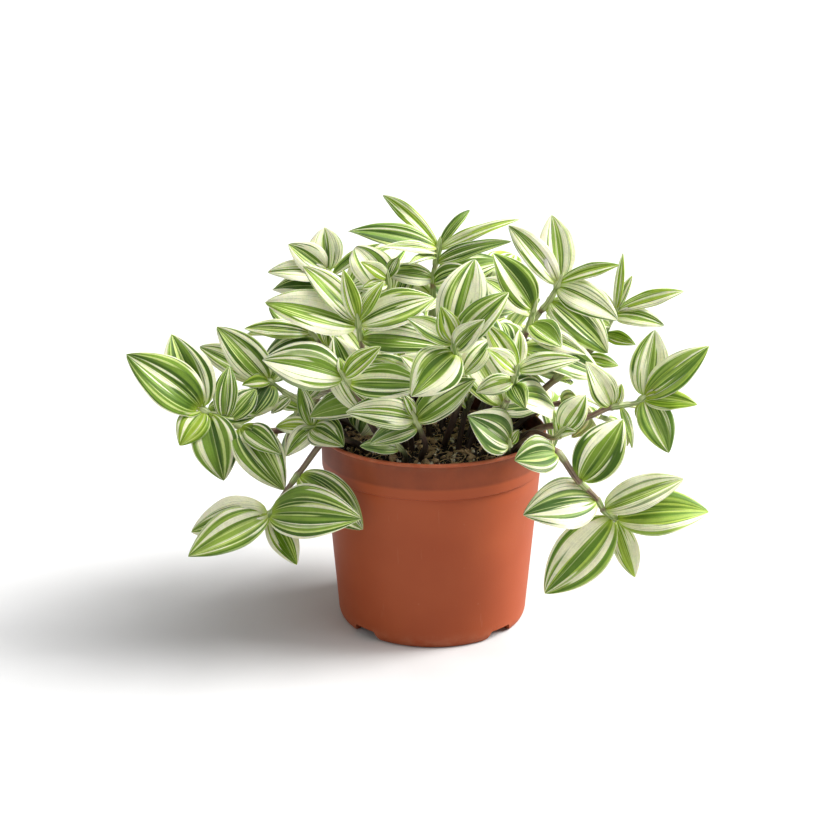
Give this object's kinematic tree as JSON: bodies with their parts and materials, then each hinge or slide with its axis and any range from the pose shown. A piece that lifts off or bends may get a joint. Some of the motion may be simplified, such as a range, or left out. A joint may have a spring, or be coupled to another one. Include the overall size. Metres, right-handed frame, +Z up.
{
  "type": "potted tradescantia",
  "caption": "Round plastic nursery pot filled with potting mix, holding a full mound of striped tradescantia stems that arch out and trail over the rim.",
  "frame": {"origin": "middle of the bounding box's footprint, on the surface that the pot's foot stands on; the pot's own axis stands a little to its right and front", "axes": "+Z up along the pot's axis; +X to the viewer's right, along the mound's greatest spread; the side shown in the picture faces -Y"},
  "size_m": [0.2924, 0.1946, 0.2275],
  "materials": {
    "pot_plastic": "satin",
    "potting_mix": "matte",
    "foliage": "satin"
  },
  "bodies": {
    "root": {"pot": "pot_plastic", "potting_mix": "potting_mix", "stem_left_long": "foliage", "stem_left_hanging": "foliage", "stem_right_hanging": "foliage", "stem_right_long": "foliage", "stem_centre_front": "foliage", "stem_top": "foliage", "stem_upper_right": "foliage", "stem_upper_left": "foliage", "stem_front_left": "foliage", "stem_front_right": "foliage", "stem_front_low": "foliage", "stem_right_crown": "foliage", "stem_right_high": "foliage", "stem_left_mid": "foliage", "stem_left_crown": "foliage", "stem_left_behind": "foliage", "stem_rim_left": "foliage", "stem_rim_right": "foliage", "stem_soil_right": "foliage", "stem_soil_left": "foliage", "stem_top_left": "foliage", "stem_top_right": "foliage", "stem_back_low_1": "foliage", "stem_back_low_2": "foliage", "stem_back_low_3": "foliage", "stem_back_low_4": "foliage", "stem_back_low_5": "foliage", "stem_back_low_6": "foliage", "stem_back_mid_1": "foliage", "stem_back_mid_2": "foliage", "stem_back_mid_3": "foliage", "stem_back_mid_4": "foliage", "stem_back_high_1": "foliage", "stem_back_high_2": "foliage", "stem_inner_1": "foliage", "stem_inner_2": "foliage", "stem_inner_3": "foliage", "stem_inner_4": "foliage", "stem_inner_5": "foliage", "stem_inner_6": "foliage"}
  },
  "joints": []
}
